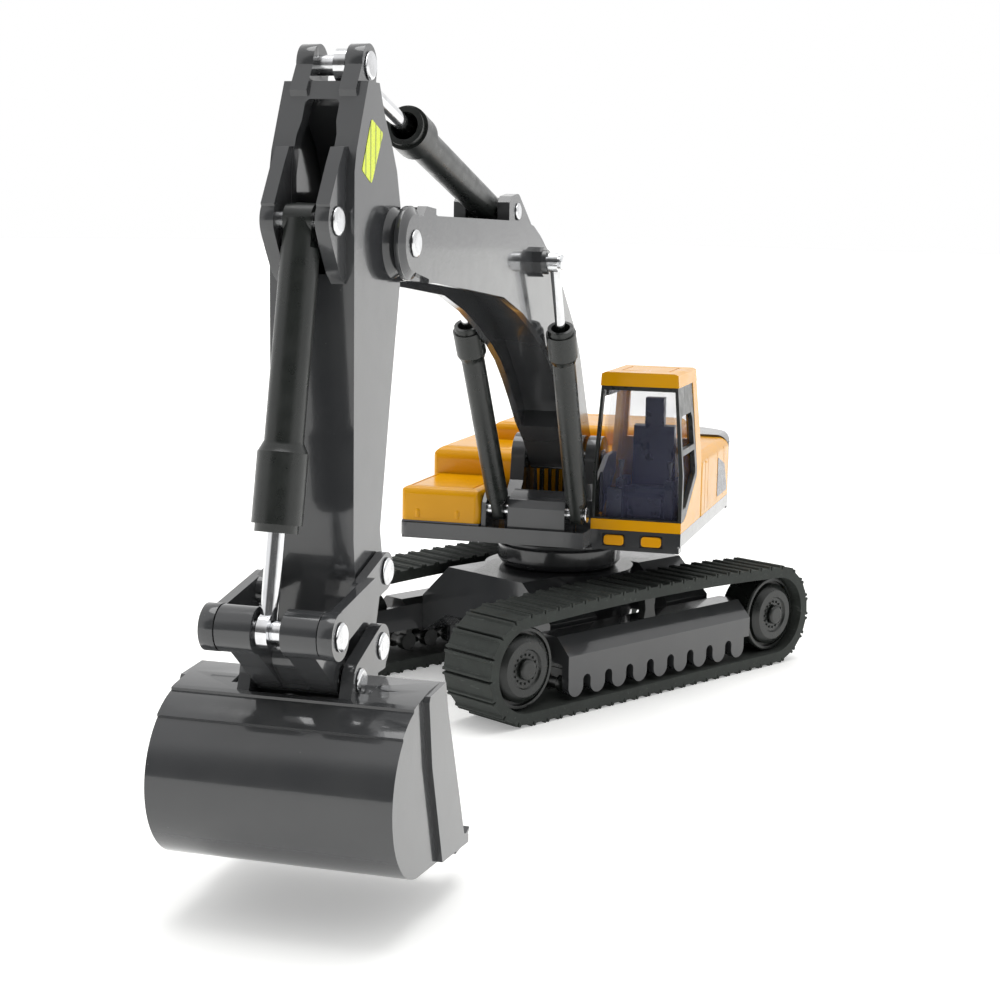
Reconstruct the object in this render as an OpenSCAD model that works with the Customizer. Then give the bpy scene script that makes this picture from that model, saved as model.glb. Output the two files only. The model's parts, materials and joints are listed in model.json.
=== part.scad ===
// Die-cast toy crawler excavator, about 1:87, with working boom, stick, bucket and slew.
// Origin: on the ground, on the slew axis.  +X forward along the tracks, +Y the
// machine's left, +Z up.  The upper works, boom, stick and bucket are drawn facing +X
// in the boom's own plane, set over the slew axis and turned by the rest slew angle.

/* [Undercarriage] */
// distance between the idler and sprocket axles
wheel_base = 50; // [46:0.5:56]
// distance between the middles of the two belts
track_gauge = 30.9; // [29:0.1:34]
// width of one rubber belt
belt_w = 8.5; // [7:0.1:9.5]
// outer radius of the belt around an axle, with its ribs
belt_r = 7.2; // [6.8:0.1:7.6]
// thickness of the belt without its ribs
belt_t = 1.3; // [1:0.05:1.5]
// height of the belt's cross ribs
rib_h = 0.45; // [0.2:0.05:0.6]
// number of track shoes moulded round one belt
shoe_count = 57; // [48:1:64]
// upward bow of the belt's top run at mid span
top_bow = 0.7; // [0:0.1:1]
// number of roller guard lobes along one track frame
lobe_count = 9; // [7:1:10]

/* [Slew] */
// angle that the upper works stand at, turned to the left
rest_slew = 29.9; // [0:0.1:360]
// radius of the turntable under the deck
turntable_r = 9.55; // [9:0.05:10]
// radius of the fixed slew ring on the carbody
ring_r = 8.6; // [8:0.1:9]
// radius of the king rivet's shank
king_r = 2.0; // [1.5:0.05:2.5]

/* [Deck and body] */
// half width of the deck and body
body_y = 18.65; // [18:0.05:19]
// height of the deck's underside above ground
deck_z0 = 20.4; // [20:0.1:21]
// height of the deck's top face
deck_z1 = 22.5; // [22:0.1:23]
// how far the deck reaches ahead of the slew axis beside the cab
deck_x = 19.8; // [19:0.1:21]
// height of the top of the body's side boxes
body_z = 31.1; // [30:0.1:33]
// height of the top of the engine hood
hood_z = 33.65; // [33:0.05:36]
// back of the body, where the counterweight begins
body_x0 = -22.2; // [-24:0.1:-21]
// radius of the counterweight's tail
tail_r = 36.5; // [35:0.5:40]

/* [Cab] */
// cab side nearest the boom, at the sill
cab_y0 = 6.7; // [6.5:0.1:7.5]
// front of the cab at the sill
cab_x1 = 15.6; // [15:0.1:15.7]
// back of the cab
cab_x0 = 1.3; // [0.8:0.1:2]
// height of the cab's roof
cab_z1 = 43.2; // [41:0.1:45]

/* [Boom, stick and bucket] */
// half width of the boom box
boom_y = 3.9; // [3.6:0.1:4]
// half width of the stick box
stick_y = 3.95; // [3.7:0.05:4]
// half width of the bucket
bucket_y = 11.45; // [9:0.05:13]
// thickness of the bucket's plates
bucket_t = 1.0; // [0.8:0.1:1.4]
// number of teeth on the bucket's lip
tooth_count = 5; // [3:1:7]
// radius of the rivets' shanks in the boom, stick and linkage
pin_r = 0.95; // [0.7:0.05:1.1]
// radius of the rivets' round heads
head_r = 1.28; // [1.2:0.02:1.5]
// height of the rivets' round heads
head_h = 0.34; // [0.2:0.02:0.5]

/* [Cylinders] */
// outer radius of the two boom cylinder barrels
boom_barrel_r = 1.45; // [1.4:0.05:1.5]
// outer radius of the stick and bucket cylinder barrels
big_barrel_r = 1.7; // [1.6:0.05:1.8]
// radius of the boom cylinder rods
boom_rod_r = 0.6; // [0.5:0.05:0.7]
// radius of the stick and bucket cylinder rods
big_rod_r = 0.8; // [0.7:0.05:0.9]
// middle of each boom cylinder's base eye from the boom's centre plane
boom_cyl_y0 = 5.3; // [5.25:0.05:5.5]
// middle of each boom cylinder's rod eye from the boom's centre plane
boom_cyl_y1 = 6.15; // [6.1:0.05:6.3]

/* [Hidden] */
$fn = 48;
fit = 0.05;
corner_r = 0.9;

// colours
grey = [0.24, 0.24, 0.255];
dark = [0.14, 0.145, 0.15];
yellow = [0.92, 0.6, 0.05];
rubber = [0.16, 0.17, 0.165];
navy = [0.08, 0.09, 0.16];
steel = [0.8, 0.8, 0.82];
clear = [0.72, 0.72, 0.9, 0.35];

// the slew axis seen from the upper works' drawing origin, as [forward, left]
slew_at = [1.8, -1.04];

// pivots of the boom, stick and linkage, as [forward, up] in the boom's plane
boom_foot = [6.5, 30.6];
cyl_base = [17.6, 24.6];
cyl_rod = [35.9, 57.6];
boom_tip = [86.5, 60.1];
stick_cyl_base = [42.3, 63.4];
stick_top = [90.85, 75.6];
bucket_cyl_base = [98.7, 62.0];
rocker_pivot = [90.9, 30.4];
link_pivot = [105.2, 27.4];
coupler_pivot = [98.5, 21.95];
bucket_pivot = [92.9, 23.85];

// middle of the stick and bucket rods' eyes from the boom's centre plane
stick_rod_y = 0.7;
bucket_rod_y = -0.55;

// round back of the bucket
bucket_c = [99.3, 12.75];
bucket_r = 7.7;

// belts and wheels
belt_y0 = track_gauge / 2 - belt_w / 2;
belt_y1 = track_gauge / 2 + belt_w / 2;
belt_in_r = belt_r - rib_h - belt_t;
wheel_r = belt_in_r - 0.12;
axle_r = 0.95;
wheel_w = 5.15;
idler_x = wheel_base / 2;
sprocket_x = -wheel_base / 2;

// track frame
frame_y0 = track_gauge / 2 - 2.85;
frame_y1 = track_gauge / 2 + 3.6;
wheel_y0 = frame_y0 + 1.05;
frame_x0 = -19.35;
frame_x1 = 17.5;
frame_z1 = 9.85;
lobe_r = 1.36;
lobe_z = 3.56;
lobe_pitch = 4.11;
lobe_x0 = frame_x1 - 1.4;
inner_wall = 0.75;
outer_wall = 1.15;
post_x = -0.4;

// carbody
carbody_z1 = 15;
ring_z1 = 18.6;

// ---------------------------------------------------------------- helpers

// sets what is drawn facing +X over the slew axis, turned to the rest slew angle
module slewed() {
  rotate([0, 0, rest_slew]) translate([-slew_at[0], -slew_at[1], 0]) children();
}

// moves what is drawn about the slew axis to its place in the upper works
module on_slew_axis() {
  translate([slew_at[0], slew_at[1], 0]) children();
}

// a flat plate between two y values, from an outline drawn as [forward, up]
module plate(y0, y1) {
  translate([0, y1, 0]) rotate([90, 0, 0]) linear_extrude(y1 - y0) children();
}

// the same plate on both sides of the centre plane
module plates(y0, y1) {
  plate(y0, y1) children();
  plate(-y1, -y0) children();
}

// a bar between two x values, from an outline drawn as [across, up]
module bar(x0, x1) {
  translate([x0, 0, 0]) rotate([90, 0, 90]) linear_extrude(x1 - x0) children();
}

// a round shaft along y through point p
module shaft(p, r, y0, y1) {
  translate([p[0], y0, p[1]]) rotate([-90, 0, 0]) cylinder(r = r, h = y1 - y0);
}

// a rivet along y with a round head at each end
module rivet(p, r, y, hr = head_r, hh = head_h) {
  shaft(p, r, -y, y);
  for (s = [-1, 1])
    translate([p[0], s * y, p[1]]) rotate([-90 * s, 0, 0]) {
      cylinder(r = hr, h = hh * 0.55);
      translate([0, 0, hh * 0.55]) cylinder(r1 = hr, r2 = hr * 0.72, h = hh * 0.45);
    }
}

// two round ends joined by straight sides, drawn as [forward, up]
module link2d(a, b, ra, rb) {
  d = b - a;
  l = norm(d);
  n = [-d[1], d[0]] / l;
  translate(a) circle(ra);
  translate(b) circle(rb);
  polygon([a + n * ra, b + n * rb, b - n * rb, a - n * ra]);
}

// angle of the line from a to b above the horizontal
function tilt(a, b) = atan2(b[1] - a[1], b[0] - a[0]);

// draws children along +X from a towards b, ya and yb being their distances from the centre plane
module along(a, b, ya = 0, yb = 0) {
  translate([a[0], ya, a[1]])
    rotate([0, -tilt(a, b), 0])
      rotate([0, 0, atan2(yb - ya, norm(b - a))]) children();
}

// a cylinder along +X from x0 to x1
module xcyl(r, x0, x1, r2 = -1) {
  translate([x0, 0, 0]) rotate([0, 90, 0])
    cylinder(r1 = r, r2 = r2 < 0 ? r : r2, h = x1 - x0);
}

// points of an arc about c
function arc(c, r, a0, a1, n) =
  [for (i = [0:n]) c + r * [cos(a0 + (a1 - a0) * i / n), sin(a0 + (a1 - a0) * i / n)]];

// ---------------------------------------------------------------- undercarriage

// height of the bow of the top run at distance x from mid span
function bow(x) = top_bow * (1 - pow(2 * x / wheel_base, 2));

// length of the belt's line at offset r from the axles
function belt_len(r) = 2 * wheel_base + 2 * PI * r;

// point on the belt's line, o further out than r, at distance s along it
function belt_point(s, r, o) =
  let (a = PI * r, h = wheel_base / 2)
  s < wheel_base ? [h - s, belt_r + r + o + bow(h - s)] :
  s < wheel_base + a ?
    let (t = 90 + 180 * (s - wheel_base) / a)
    [-h + (r + o) * cos(t), belt_r + (r + o) * sin(t)] :
  s < 2 * wheel_base + a ? [-h + s - wheel_base - a, belt_r - r - o] :
    let (t = -90 + 180 * (s - 2 * wheel_base - a) / a)
    [h + (r + o) * cos(t), belt_r + (r + o) * sin(t)];

// outline of the belt: every shoe has a narrow groove between two ridges, and a flat
function shoe_line() =
  let (r = belt_in_r + 0.45, o = belt_in_r + belt_t - r, p = belt_len(r) / shoe_count)
  [for (i = [0:shoe_count - 1],
        q = [[0.03, -0.25], [0.06, 1], [0.16, 1], [0.21, 0.35], [0.79, 0.35], [0.84, 1], [0.94, 1],
             [0.97, -0.25]])
    belt_point((i + q[0]) * p, r, o + q[1] * rib_h)];

// smooth line inside the belt
function inner_line() =
  let (h = wheel_base / 2, r = belt_in_r)
  concat(
    [for (i = [0:10]) [h - i * wheel_base / 10, belt_r + r + bow(h - i * wheel_base / 10)]],
    arc([-h, belt_r], r, 90, 270, 30),
    arc([h, belt_r], r, -90, 90, 30)
  );

module belt(side) {
  y0 = side > 0 ? belt_y0 : -belt_y1;
  color(rubber)
    difference() {
      plate(y0, y0 + belt_w) polygon(shoe_line());
      plate(y0 - 1, y0 + belt_w + 1) polygon(inner_line());
    }
}

module belt_left() {
  belt(1);
}

module belt_right() {
  belt(-1);
}

// side face of a track frame with its roller guard lobes and the arches between them
module guard2d() {
  arch_r = lobe_pitch / 2 - lobe_r;
  last = lobe_x0 - lobe_pitch * (lobe_count - 1);
  difference() {
    union() {
      translate([frame_x0, 4.9]) square([frame_x1 - frame_x0, 2.7]);
      translate([last - lobe_r, lobe_z]) square([lobe_x0 - last + 2 * lobe_r, 1.5]);
      for (i = [0:lobe_count - 1])
        translate([lobe_x0 - lobe_pitch * i, lobe_z]) circle(lobe_r);
    }
    for (i = [0:lobe_count - 2])
      translate([lobe_x0 - lobe_pitch * (i + 0.5), 0]) {
        translate([0, 4.2]) circle(arch_r);
        translate([-arch_r, 2]) square([2 * arch_r, 2.2]);
      }
  }
}

module frame_body() {
  difference() {
    union() {
      bar(frame_x0, frame_x1)
        polygon([[frame_y0, 4.9], [frame_y0, 9], [frame_y0 + 0.9, frame_z1],
                 [frame_y1 - 2.2, frame_z1], [frame_y1, 7.6], [frame_y1, 4.9]]);
      plate(frame_y1 - outer_wall, frame_y1) guard2d();
      plate(frame_y0, frame_y0 + inner_wall) guard2d();
      // arms that carry the idler and the sprocket
      plate(frame_y0, frame_y0 + 0.9) link2d([frame_x1 - 2, belt_r], [idler_x, belt_r], 1.9, 1.7);
      plate(frame_y0, frame_y0 + 0.9) link2d([frame_x0 + 2, belt_r], [sprocket_x, belt_r], 1.9, 1.7);
    }
    // channel that the roller strip sits in, open at the front
    translate([frame_x0 + 1.2, frame_y0 + inner_wall, -1])
      cube([60, frame_y1 - frame_y0 - inner_wall - outer_wall, 7.4]);
    // the inner plate is cut away near the front
    translate([9, frame_y0 - 1, 0]) cube([frame_x1, 1 + inner_wall + 0.1, 5.6]);
    for (x = [idler_x, sprocket_x])
      shaft([x, belt_r], axle_r, frame_y0 - 1, frame_y0 + 2);
    // seat of the carrier post
    translate([post_x - 0.7, track_gauge / 2 + 0.3, frame_z1 - 0.5]) cube([1.4, 1, 2]);
  }
}

module track_frame_left() {
  color(grey) frame_body();
}

module track_frame_right() {
  color(grey) mirror([0, 1, 0]) frame_body();
}

module roller_body() {
  y0 = frame_y0 + inner_wall + 0.05;
  y1 = frame_y1 - outer_wall - 0.05;
  translate([frame_x0 + 1.3, y0, 5.2]) cube([frame_x1 - frame_x0 - 2.3, y1 - y0, 1.15]);
  for (i = [0:lobe_count - 1]) {
    x = lobe_x0 - lobe_pitch * i;
    translate([x - 0.5, y0, lobe_z]) cube([1, y1 - y0, 2]);
    shaft([x, lobe_z], 1.25, y0, y0 + 1.3);
    shaft([x, lobe_z], 0.9, y0 + 1.2, y1 - 1.2);
    shaft([x, lobe_z], 1.25, y1 - 1.3, y1);
  }
}

module roller_strip_left() {
  color(dark) roller_body();
}

module roller_strip_right() {
  color(dark) mirror([0, 1, 0]) roller_body();
}

module post_body() {
  y = track_gauge / 2;
  top = belt_r + belt_in_r + bow(post_x) - 0.15;
  // tenon in the frame's seat
  translate([post_x - 0.68, y + 0.32, frame_z1 - 0.48]) cube([1.36, 0.96, 0.6]);
  plate(y + 0.2, y + 1.4)
    polygon([[post_x - 1.2, frame_z1 + 0.01], [post_x + 1.2, frame_z1 + 0.01],
             [post_x + 0.9, 11.1], [post_x + 1.1, top - 0.5], [post_x + 0.7, top],
             [post_x - 0.7, top], [post_x - 1.1, top - 0.5], [post_x - 0.9, 11.1]]);
}

module carrier_post_left() {
  color(dark) post_body();
}

module carrier_post_right() {
  color(dark) mirror([0, 1, 0]) post_body();
}

// face of a wheel, as [radius, distance out from its inner side]
function wheel_line(rim) =
  [[axle_r + fit, 0], [rim, 0], [rim, 4.4], [rim - 0.2, 4.6], [4.75, 4.6], [4.75, 4.0],
   [4.35, 4.0], [4.35, 4.75], [3.5, 5.4], [2.55, 5.4], [2.4, wheel_w], [axle_r + fit, wheel_w]];

module wheel(x, side, bolts) {
  translate([x, side * wheel_y0, belt_r]) rotate([-90 * side, 0, 0]) {
    rotate_extrude() polygon(wheel_line(wheel_r));
    for (i = [0:bolts - 1])
      rotate([0, 0, 360 * i / bolts]) translate([1.85, 0, wheel_w - 0.05])
        cylinder(r = 0.17, h = 0.22, $fn = 6);
  }
}

module idler_left() {
  color(dark) wheel(idler_x, 1, 16);
}

module idler_right() {
  color(dark) wheel(idler_x, -1, 16);
}

module sprocket_left() {
  color(dark) wheel(sprocket_x, 1, 16);
}

module sprocket_right() {
  color(dark) wheel(sprocket_x, -1, 16);
}

module wheel_axles() {
  y0 = frame_y0 + 0.02;
  y1 = wheel_y0 + wheel_w + 0.1;
  color(dark)
    for (x = [idler_x, sprocket_x], s = [-1, 1])
      translate([x, 0, belt_r]) rotate([-90 * s, 0, 0]) {
        translate([0, 0, y0]) cylinder(r = axle_r - 0.02, h = y1 - y0 + 0.05);
        translate([0, 0, y1]) cylinder(r = 1.35, h = 0.4);
        translate([0, 0, y1 + 0.4]) cylinder(r1 = 1.35, r2 = 1.05, h = 0.17);
      }
}

// one pair of legs seen from the front, arching from the middle to the track frames
module legs2d() {
  leg_out = frame_y0 - 0.02;
  top = 7.2;
  polygon([[-leg_out, 5], [-leg_out, 10.2], [-top, carbody_z1], [top, carbody_z1],
           [leg_out, 10.2], [leg_out, 5], [7.5, 8.2], [-7.5, 8.2]]);
}

module carbody() {
  color(grey)
    difference() {
      union() {
        bar(5.5, 14.4) legs2d();
        bar(-17.6, -8.7) legs2d();
        translate([0, 0, 8.2]) cylinder(r = 10.4, h = carbody_z1 - 8.2, $fn = 72);
      }
      translate([0, 0, 7]) cylinder(r = king_r + fit, h = 20);
      // recess for the rivet's lower head
      translate([0, 0, 7]) cylinder(r = 3.6, h = 2);
    }
}

module slew_ring() {
  h = ring_z1 - carbody_z1;
  color(grey)
    translate([0, 0, carbody_z1])
      rotate_extrude($fn = 96)
        polygon([[king_r + fit, 0], [ring_r - 1.1, 0], [ring_r - 0.6, 0.15], [ring_r, 0.9],
                 [ring_r, 2.9], [ring_r - 0.4, 3.1], [ring_r - 0.4, h], [king_r + fit, h]]);
}

// ---------------------------------------------------------------- upper works

module turntable() {
  z0 = ring_z1 + 0.05;
  color(grey)
    slewed()
      on_slew_axis()
        rotate_extrude($fn = 96)
          polygon([[king_r + 0.01, z0], [turntable_r - 0.5, z0], [turntable_r, z0 + 0.5],
                   [turntable_r, deck_z0], [king_r + 0.01, deck_z0]]);
}

module king_rivet() {
  color(steel)
    slewed()
      on_slew_axis() {
        translate([0, 0, 8.9]) cylinder(r = king_r, h = deck_z1 - 9.3);
        translate([0, 0, 8.2]) cylinder(r = 3.3, h = 0.75);
        translate([0, 0, deck_z1 - 0.78]) cylinder(r = 3, h = 0.7);
      }
}

// outline of the deck seen from above
module deck2d() {
  r = 1.2;
  difference() {
    union() {
      translate([body_x0, -body_y]) square([deck_x - r - body_x0, 2 * body_y]);
      translate([deck_x - r - 1, -body_y + r]) square([r + 1, body_y + cab_y0 - r]);
      translate([deck_x - r, -body_y + r]) circle(r);
    }
    translate([cab_x1 + 0.1, cab_y0 - 0.05]) square([10, 20]);
  }
}

// one boom foot bracket seen from the side
module bracket2d() {
  translate(boom_foot) circle(3.1);
  polygon([[boom_foot[0] - 3.1, boom_foot[1]], [boom_foot[0] - 4.6, deck_z1],
           [boom_foot[0] + 6.2, deck_z1], [boom_foot[0] + 5.6, 25.6],
           [boom_foot[0] + 3.6, 27.6], [boom_foot[0] + 3.05, boom_foot[1]]]);
}

module deck() {
  lamp_pocket = 0.5;
  color(grey)
    slewed()
      difference() {
        union() {
          translate([0, 0, deck_z0 + 0.35]) linear_extrude(deck_z1 - deck_z0 - 0.35) deck2d();
          translate([0, 0, deck_z0])
            linear_extrude(0.4)
              intersection() {
                deck2d();
                translate([-40, -body_y + 0.3]) square([39.65 + deck_x, 2 * body_y - 0.6]);
              }
          // skirt that hangs under the front of the cab
          translate([cab_x1 - 1.9, cab_y0 + 0.1, deck_z0 - 0.58])
            cube([1.95, body_y - cab_y0 - 0.3, 0.7]);
          // step along the right front edge
          translate([5.75, -body_y + 0.25, deck_z1 - 0.1]) cube([deck_x - 6.3, 10.7, 0.35]);
          // boom foot brackets
          plates(4.2, 6.1) bracket2d();
          // block between the boom cylinders
          plate(-3.85, 3.85)
            polygon([[12.6, deck_z1 - 0.1], [deck_x - 0.9, deck_z1 - 0.1], [deck_x - 0.9, 25.2],
                     [deck_x - 1.5, 26.2], [deck_x - 2.6, 26.8], [15.4, 27.2], [13.2, 26.4]]);
          // outer plate beside the right boom cylinder
          plate(-7.5, -6.9)
            polygon([[12, deck_z1 - 0.1], [deck_x - 1, deck_z1 - 0.1], [deck_x - 1.2, 25.6],
                     [deck_x - 2.6, 26.7], [13.4, 26.7]]);
          // rib beside the cab
          plate(6.1, 6.6)
            polygon([[11, deck_z1 - 0.1], [14.8, deck_z1 - 0.1], [14.7, 26], [11.6, 26]]);
        }
        on_slew_axis() {
          translate([0, 0, 10]) cylinder(r = king_r + 0.01, h = 14);
          // recess for the king rivet's upper head
          translate([0, 0, deck_z1 - 0.79]) cylinder(r = 3.05, h = 1);
        }
        shaft(boom_foot, pin_r + 0.01, -8, 8);
        shaft(cyl_base, 0.72, -9, 9);
        // pockets for the two front lamps
        for (y = [8.25, 13.25])
          translate([cab_x1 + 0.1 - lamp_pocket, y, deck_z0 - 0.02]) cube([2, 3.05, 1.65]);
      }
}

module headlamps() {
  w = 2.65;
  h = 1.3;
  r = 0.42;
  color(yellow)
    slewed()
      for (y = [8.45, 13.45])
        bar(cab_x1 - 0.38, cab_x1 + 0.3)
          translate([y, deck_z0 + 0.14]) {
            translate([r, 0]) square([w - 2 * r, h]);
            translate([0, r]) square([w, h - 2 * r]);
            for (cx = [r, w - r], cz = [r, h - r])
              translate([cx, cz]) circle(r, $fn = 32);
          }
}

module boom_cylinder_base_pin() {
  color(steel)
    slewed() {
      shaft(cyl_base, 0.7, -7.45, 6.45);
      shaft(cyl_base, 1.05, 6.4, 6.65);
    }
}

module boom_foot_pin() {
  color(steel) slewed() rivet(boom_foot, pin_r, 6.12, 1.3, 0.3);
}

module front_grille() {
  x0 = 1.45;
  color(dark)
    slewed()
      difference() {
        translate([x0, -4.1, deck_z1 + 0.02]) cube([0.6, 8.2, 8.2]);
        for (i = [0:6])
          translate([x0 - 1, -3.45 + i * 1.05, deck_z1 + 1.4]) cube([3, 0.6, 5.8]);
      }
}

// long box with its two top edges rounded, running back from x1 to x0
module round_top_box(x0, x1, y0, y1, z0, z1, r) {
  bar(x0, x1) {
    translate([y0, z0]) square([y1 - y0, z1 - z0 - r]);
    translate([y0 + r, z0]) square([y1 - y0 - 2 * r, z1 - z0]);
    for (y = [y0 + r, y1 - r])
      translate([y, z1 - r]) circle(r);
  }
}

// the same box with a rounded top front edge and rounded front corners as well
module body_box(x0, x1, y0, y1, z0, z1, r) {
  intersection() {
    round_top_box(x0, x1, y0, y1, z0, z1, r);
    plate(y0 - 1, y1 + 1) {
      translate([x0 - 1, z0 - 1]) square([x1 - x0 + 1 - r, z1 - z0 + 1]);
      translate([x0 - 1, z0 - 1]) square([x1 - x0 + 1, z1 - z0 + 1 - r]);
      translate([x1 - r, z1 - r]) circle(r);
    }
    // rounded upright corners at the front
    translate([0, 0, z0 - 1])
      linear_extrude(z1 - z0 + 2) {
        translate([x0 - 1, y0]) square([x1 - x0 + 1 - corner_r, y1 - y0]);
        translate([x0 - 1, y0 + corner_r]) square([x1 - x0 + 1, y1 - y0 - 2 * corner_r]);
        for (y = [y0 + corner_r, y1 - corner_r])
          translate([x1 - corner_r, y]) circle(corner_r);
      }
  }
}

module body_shell() {
  z0 = deck_z1 + 0.02;
  wall = 1.1;
  groove = 0.18;
  color(yellow)
    slewed()
      difference() {
        union() {
          // right side box beside the boom foot
          body_box(body_x0, 5.6, -body_y, -6.4, z0, body_z, 1.9);
          // middle part across the machine
          body_box(body_x0, 0.9, -body_y, body_y, z0, body_z - 0.1, 1.5);
          // raised engine hood
          body_box(body_x0, -5.6, -13.1, 12.4, z0, hood_z, 1.2);
        }
        // hollow underside
        translate([body_x0 + 1, -body_y + wall, z0 - 1])
          cube([-body_x0 - 1.2, 2 * body_y - 2 * wall, body_z - z0 - wall + 0.4]);
        translate([-10, -body_y + wall, z0 - 1])
          cube([14.5, 9.3, body_z - z0 - wall + 0.4]);
        // door gaps on the left and right sides
        for (s = [-1, 1], x = [-2.2, -4.6, -12.4, -18.2])
          translate([x, s * body_y - groove, z0 + 0.5]) cube([0.22, 2 * groove, 7.6]);
        // gap around the hood's top panel
        for (x = [-20, -8.5])
          translate([x, -9, hood_z - groove]) cube([0.22, 17.5, 1]);
        for (y = [-9, 8.3])
          translate([-20, y, hood_z - groove]) cube([11.7, 0.22, 1]);
        // cooling slots at the back of the right side
        for (i = [0:5])
          translate([-17.2 + i * 0.75, -body_y - 1, 25]) cube([0.35, 1 + groove, 4.4]);
      }
}

module right_locker() {
  z0 = deck_z1 + 0.27;
  x1 = deck_x - 0.5;
  color(yellow)
    slewed()
      difference() {
        union() {
          body_box(5.75, x1, -body_y + 0.05, -7.6, z0, 27.3, 1.1);
          // raised edge at the left and a hinge bump on each side of the front
          for (y = [-16.2, -10.7])
            translate([x1 - 0.25, y, z0 + 0.5]) {
              cylinder(r = 0.42, h = 0.8);
              translate([0, 0, 0.8]) sphere(r = 0.42);
            }
        }
        translate([6.9, -body_y + 1.1, z0 - 1]) cube([x1 - 8, 8.8, 4.4]);
        // gap around the lid
        translate([6.5, -body_y + 1.2, 27.17]) cube([x1 - 7.6, 0.2, 1]);
        translate([6.5, -8.95, 27.17]) cube([x1 - 7.6, 0.2, 1]);
        translate([x1 - 1.3, -body_y + 1.2, 27.17]) cube([0.2, 8.7, 1]);
      }
}

module counterweight() {
  top = body_z + 0.25;
  corner = 11;
  color(grey)
    slewed()
      difference() {
        intersection() {
          translate([0, 0, deck_z0]) linear_extrude(top - deck_z0)
            intersection() {
              union() {
                translate([-50, -body_y + corner]) square([30, 2 * body_y - 2 * corner]);
                for (s = [-1, 1])
                  translate([body_x0, s * (body_y - corner)]) circle(corner, $fn = 96);
              }
              circle(tail_r, $fn = 180);
            }
          // rounded top edges and undercut bottom edge
          round_top_box(-50, -20, -body_y, body_y, deck_z0, top, 1.9);
          plate(-40, 40)
            polygon(concat([[body_x0 - 0.05, deck_z0], [body_x0 - 0.05, top]],
                           arc([-tail_r + 2.2, top - 2.2], 2.2, 90, 180, 12),
                           [[-tail_r, 24], [-tail_r + 2, deck_z0]]));
        }
        // parting line round the tail and two lifting eyes
        difference() {
          translate([-60, -40, 24.4]) cube([35, 80, 0.25]);
          cylinder(r = tail_r - 0.2, h = 60, $fn = 180);
        }
        for (s = [-1, 1])
          translate([-29, s * 8, top - 0.8]) cylinder(r = 0.8, h = 2);
      }
}

// outer shape of the cab, drawn in by d on every side
module cab_outer(d, z0, z1) {
  intersection() {
    bar(0, 20)
      polygon([[cab_y0 + d, z0], [body_y - d, z0], [body_y - d, 30],
               [body_y - 1.05 - d, z1], [cab_y0 + 0.8 + d, z1], [cab_y0 + d, 30]]);
    plate(0, 30)
      polygon([[cab_x0 + d, z0], [cab_x1 - d, z0], [cab_x1 - d, 24.2],
               [cab_x1 - 0.5 - d, z1], [cab_x0 + 0.9 + d, z1], [cab_x0 + d, 34]]);
  }
}

// openings of the cab's windows
module cab_windows() {
  // front
  bar(cab_x1 - 3, cab_x1 + 3)
    polygon([[cab_y0 + 0.4, 24.1], [body_y - 0.45, 24.1], [body_y - 0.55, 30.2],
             [body_y - 1.4, cab_z1 - 2.35], [cab_y0 + 1.15, cab_z1 - 2.35], [cab_y0 + 0.4, 30.2]]);
  // left side: upper and lower door windows
  plate(14, 30)
    polygon([[6.2, 33.3], [14.4, 33.3], [14.2, 36.8], [13.4, 37.6], [7.0, 37.6], [6.2, 36.8]]);
  plate(14, 30)
    polygon([[6.2, 32.5], [14.5, 32.5], [14.6, 25.6], [12.6, 25.6], [6.2, 29.4]]);
  // right side
  plate(0, 9)
    polygon([[4.6, 31.6], [9.5, 31.6], [14.4, 28.6], [14.0, 39.9], [4.6, 39.9]]);
  // back
  bar(0, 4)
    polygon([[cab_y0 + 1.6, 33.4], [body_y - 2, 33.4], [body_y - 2.4, 39.7],
             [cab_y0 + 2, 39.7]]);
}

// part of the cab that is dark: the front pillars and the door frame
module surround_zone(grow) {
  plate(0, 30)
    polygon([[4.9 - grow, 33.0], [4.9 - grow, cab_z1 - 1.8], [30, cab_z1 - 1.8], [30, 23.9],
             [13.9, 23.9], [12.2 - grow, 24.4], [4.9 - grow, 28.8]]);
}

module cab_shell() {
  color(yellow)
    slewed()
      difference() {
        union() {
          difference() {
            cab_outer(0, deck_z1 + 0.02, cab_z1 - 0.5);
            cab_outer(0.75, deck_z1 - 2, cab_z1 - 1.6);
            cab_windows();
            surround_zone(0);
          }
          // roof with a chamfered edge
          intersection() {
            cab_outer(0, cab_z1 - 1.8, cab_z1);
            bar(0, 20)
              polygon([[cab_y0 + 0.2, cab_z1 - 3], [cab_y0 + 0.2, cab_z1 - 0.5],
                       [cab_y0 + 1.3, cab_z1], [body_y - 1.5, cab_z1],
                       [body_y - 0.4, cab_z1 - 0.5], [body_y - 0.4, cab_z1 - 3]]);
          }
          // sill lip under the windscreen
          translate([cab_x1 - 0.6, cab_y0 - 0.05, deck_z1 + 0.02]) cube([0.75, body_y - cab_y0 + 0.05, 1.37]);
        }
        // underside of the roof
        cab_outer(0.75, cab_z1 - 4, cab_z1 - 0.9);
        // shut line of the roof hatch
        for (y = [cab_y0 + 2.6, body_y - 3])
          translate([4.4, y, cab_z1 - 0.14]) cube([7.2, 0.2, 1]);
        for (x = [4.4, 11.4])
          translate([x, cab_y0 + 2.6, cab_z1 - 0.14]) cube([0.2, body_y - cab_y0 - 5.4, 1]);
      }
}

module window_surround() {
  color(dark)
    slewed()
      difference() {
        intersection() {
          cab_outer(0, deck_z1 + 1.4, cab_z1 - 1.8);
          surround_zone(-0.03);
        }
        cab_outer(0.75, deck_z1 - 2, cab_z1 + 2);
        cab_windows();
        translate([cab_x0 - 1, cab_y0 - 1, 0]) cube([4.6 - cab_x0 + 1, 30, 60]);
      }
}

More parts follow.
